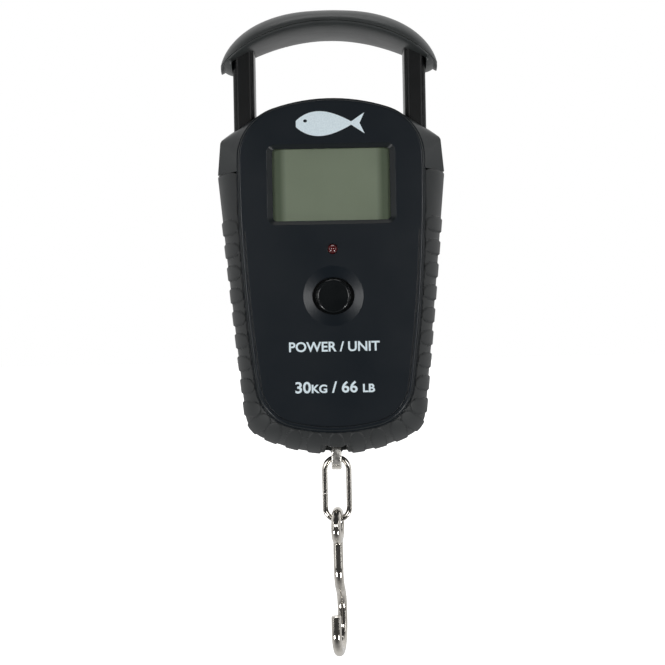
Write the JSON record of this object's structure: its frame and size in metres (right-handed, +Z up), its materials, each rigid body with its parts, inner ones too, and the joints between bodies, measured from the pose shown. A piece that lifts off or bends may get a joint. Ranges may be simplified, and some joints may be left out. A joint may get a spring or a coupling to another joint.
{
  "type": "digital fish scale",
  "caption": "Pocket hanging scale: arched fixed handle on two posts, tapered casing with display, button and ribbed rubber belt, chain link and bent-wire hook.",
  "frame": {"origin": "middle of the handle's underside, on the line along which the load hangs", "axes": "+Z up along the load line, +X to the right of a person reading the display, the display faces -Y"},
  "size_m": [0.071, 0.0336, 0.2034],
  "materials": {
    "shell_plastic": "satin moulded plastic",
    "belt_rubber": "soft-touch moulded rubber",
    "clear_window": "clear polished plastic",
    "lcd_glass": "grey-green reflective display",
    "white_plastic": "moulded",
    "elastomer": "striped connector",
    "circuit_board": "green solder mask",
    "black_resin": "cast resin",
    "bright_screw": "zinc plated",
    "black_screw": "black oxide",
    "red_lens": "tinted clear resin",
    "tinned_wire": "tinned",
    "button_plastic": "smooth moulded",
    "cell_aluminium": "milled",
    "gauge_foil": "foil on film",
    "plated_steel": "nickel plated",
    "handle_plastic": "fine textured",
    "post_plastic": "fine textured",
    "cell_jacket": "shrink sleeve, unprinted",
    "wire_sleeve": "flexible sleeve",
    "zinc_steel": "zinc plated, worn",
    "nickel_wire": "bright nickel plate"
  },
  "bodies": {
    "casing": {"aaa_cells": "cell_jacket", "battery_leads": "wire_sleeve", "battery_plates": "plated_steel", "battery_springs": "plated_steel", "board_screws": "bright_screw", "case_screws": "black_screw", "cell_screw": "bright_screw", "controller_blob": "black_resin", "display_window": "clear_window", "eye_nut": "bright_screw", "front_shell": "shell_plastic", "gauge_leads": "wire_sleeve", "grip_belt": "belt_rubber", "handle_cover": "handle_plastic", "handle_frame": "post_plastic", "handle_underside": "handle_plastic", "indicator_light": "red_lens", "lcd_holder": "white_plastic", "lcd_panel": "lcd_glass", "light_leads": "tinned_wire", "load_cell": "cell_aluminium", "load_eye": "zinc_steel", "main_board": "circuit_board", "post_screws": "bright_screw", "rear_shell": "shell_plastic", "strain_gauges": "gauge_foil", "switch_body": "black_resin", "yoke_plate": "plated_steel", "zebra_strips": "elastomer"},
    "power_button": {"power_button": "button_plastic", "switch_plunger": "button_plastic"},
    "battery_door": {"battery_door": "shell_plastic"},
    "chain_link": {"chain_link": "nickel_wire"},
    "hook": {"hook": "nickel_wire"}
  },
  "joints": [
    {"name": "button_press", "type": "slide", "parent": "casing", "child": "power_button", "axis": [0, 1, 0], "range_m": [0, 0.0003]},
    {"name": "door_hinge", "type": "hinge", "parent": "casing", "child": "battery_door", "pos_m": [0, 0.0159, -0.1116], "axis": [-1, 0, 0], "range_deg": [0, 70]},
    {"name": "link_swing", "type": "hinge", "parent": "casing", "child": "chain_link", "pos_m": [0, 0, -0.13545], "axis": [0, 1, 0], "range_deg": [-45, 45]},
    {"name": "hook_swing", "type": "hinge", "parent": "chain_link", "child": "hook", "pos_m": [0, 0, -0.15257], "axis": [1, 0, 0], "range_deg": [-110, 110]}
  ]
}
